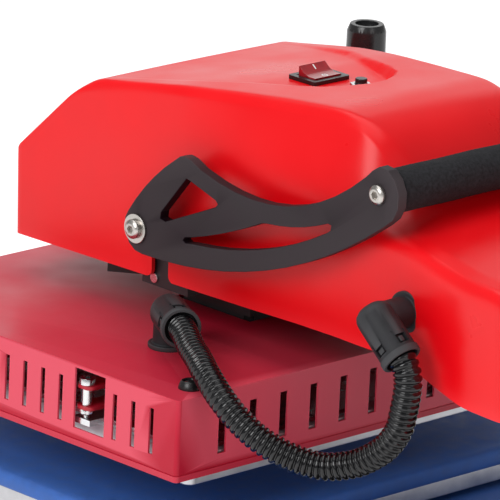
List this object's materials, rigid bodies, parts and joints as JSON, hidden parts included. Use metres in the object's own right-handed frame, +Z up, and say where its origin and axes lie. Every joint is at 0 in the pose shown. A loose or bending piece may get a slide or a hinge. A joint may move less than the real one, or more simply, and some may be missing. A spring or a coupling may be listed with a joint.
{
  "type": "heat press",
  "caption": "Swing-away heat press: vented heated platen on a pivoting arm under a moulded hood, folding side lever with foam bar, padded lower platen on a steel base.",
  "frame": {"origin": "on the bench, under the centre of the platens", "axes": "+Z up, +Y from the operator's side to the column, +X to the operator's right"},
  "size_m": [0.394, 0.566, 0.3818],
  "materials": {
    "frame_paint": "satin powder coat",
    "feet_rubber": "matte",
    "deck_paint": "satin powder coat",
    "zinc_fastener": "bright zinc",
    "bolt_steel": "bright stainless",
    "bronze": "turned bronze",
    "cast_table": "cast and milled",
    "pad_silicone": "matte silicone sponge",
    "ground_steel": "ground",
    "spring_steel": "drawn wire",
    "wheel_plastic": "moulded phenolic",
    "arm_paint": "satin powder coat",
    "hood_plastic": "moulded ABS, semi-gloss",
    "panel_plastic": "fine texture",
    "display_glass": "dark window",
    "switch_plastic": "moulded nylon",
    "button_plastic": "soft touch",
    "elbow_plastic": "moulded polyamide",
    "controller_case": "plain",
    "lever_paint": "matte powder coat",
    "bar_tube": "black tube",
    "foam": "closed-cell foam",
    "rail_paint": "satin powder coat",
    "insulation_foil": "foil-faced board",
    "heater_aluminium": "cast, coated face",
    "cover_paint": "satin powder coat",
    "conduit_plastic": "corrugated polyamide",
    "grip_plastic": "moulded phenolic",
    "rocker_plastic": "translucent red"
  },
  "bodies": {
    "base": {"base_frame": "frame_paint", "rubber_feet": "feet_rubber", "deck": "deck_paint", "deck_screws": "zinc_fastener", "spindle_nut": "bronze", "guide_bushes": "bronze", "column": "frame_paint", "column_bolts": "zinc_fastener", "thrust_washer": "bronze"},
    "lower_platen": {"lower_table": "cast_table", "lower_pad": "pad_silicone", "table_pins": "ground_steel"},
    "pressure_wheel": {"pressure_spindle": "ground_steel", "star_wheel": "wheel_plastic"},
    "head": {"swing_arm": "arm_paint", "arm_bushes": "bronze", "shaft_bushes": "bronze", "rod_bushes": "bronze", "hood": "hood_plastic", "hood_screws": "zinc_fastener", "control_panel": "panel_plastic", "display_window": "display_glass", "switch_bezel": "switch_plastic", "breaker_nut": "zinc_fastener", "mains_inlet": "switch_plastic", "head_elbow": "elbow_plastic", "grip_bracket": "arm_paint", "return_springs": "spring_steel", "controller_box": "controller_case", "grip_screw": "zinc_fastener", "conduit": "conduit_plastic"},
    "lever": {"lever_plate_right": "lever_paint", "lever_plate_left": "lever_paint", "lever_shaft": "ground_steel", "press_cam": "ground_steel", "lever_bolts": "bolt_steel", "lever_washers": "bolt_steel", "cross_bar": "bar_tube", "foam_grip": "foam"},
    "upper_platen": {"guide_rods": "ground_steel", "press_block": "arm_paint", "roller_pin": "ground_steel", "carrier_rails": "rail_paint", "levelling_screws": "zinc_fastener", "insulation_board": "insulation_foil", "heating_plate": "heater_aluminium", "platen_cover": "cover_paint", "cover_caps": "switch_plastic", "platen_elbow": "elbow_plastic"},
    "roller": {"cam_roller": "ground_steel"},
    "grip": {"swing_grip": "grip_plastic"},
    "power_rocker": {"rocker": "rocker_plastic"},
    "reset_button": {"breaker_button": "switch_plastic"},
    "set_button": {"button_set": "button_plastic"},
    "up_button": {"button_up": "button_plastic"},
    "down_button": {"button_down": "button_plastic"},
    "timer_button": {"button_timer": "button_plastic"}
  },
  "joints": [
    {"name": "head_swing", "type": "hinge", "parent": "base", "child": "head", "pos_m": [0, 0.3, 0.2], "axis": [0, 0, 1], "range_deg": [-90, 90]},
    {"name": "table_lift", "type": "slide", "parent": "base", "child": "lower_platen", "axis": [0, 0, 1], "range_m": [0, 0.0036]},
    {"name": "wheel_turn", "type": "hinge", "parent": "lower_platen", "child": "pressure_wheel", "pos_m": [0, 0, 0.07], "axis": [0, 0, 1], "range_deg": [0, 420]},
    {"name": "lever_swing", "type": "hinge", "parent": "head", "child": "lever", "pos_m": [0, 0.021, 0.273], "axis": [1, 0, 0], "range_deg": [0, 150]},
    {"name": "platen_travel", "type": "slide", "parent": "head", "child": "upper_platen", "axis": [0, 0, -1], "range_m": [0, 0.0241], "stiffness_N_per_m": 4000, "springref_m": -0.03, "deforming": ["return_springs", "conduit"]},
    {"name": "roller_spin", "type": "hinge", "parent": "upper_platen", "child": "roller", "pos_m": [0, 0.021, 0.239], "axis": [1, 0, 0], "continuous": true},
    {"name": "grip_spin", "type": "hinge", "parent": "head", "child": "grip", "pos_m": [-0.14, -0.02, 0.28], "axis": [0, 0, 1], "continuous": true},
    {"name": "rocker_tilt", "type": "hinge", "parent": "head", "child": "power_rocker", "pos_m": [0, 0.075, 0.37], "axis": [1, 0, 0], "range_deg": [0, 20]},
    {"name": "reset_press", "type": "slide", "parent": "head", "child": "reset_button", "axis": [0, 0, -1], "range_m": [0, 0.003], "stiffness_N_per_m": 200, "springref_m": -0.002},
    {"name": "set_press", "type": "slide", "parent": "head", "child": "set_button", "axis": [0, 0.682, -0.7314], "range_m": [0, 0.0015], "stiffness_N_per_m": 300, "springref_m": -0.002},
    {"name": "up_press", "type": "slide", "parent": "head", "child": "up_button", "axis": [0, 0.682, -0.7314], "range_m": [0, 0.0015], "stiffness_N_per_m": 300, "springref_m": -0.002},
    {"name": "down_press", "type": "slide", "parent": "head", "child": "down_button", "axis": [0, 0.682, -0.7314], "range_m": [0, 0.0015], "stiffness_N_per_m": 300, "springref_m": -0.002},
    {"name": "timer_press", "type": "slide", "parent": "head", "child": "timer_button", "axis": [0, 0.682, -0.7314], "range_m": [0, 0.0015], "stiffness_N_per_m": 300, "springref_m": -0.002}
  ],
  "couplings": [
    {"joint": "platen_travel", "follows": "lever_swing", "m_per_rad": 0.0091673},
    {"joint": "table_lift", "follows": "wheel_turn", "m_per_rad": 0.00047746}
  ]
}
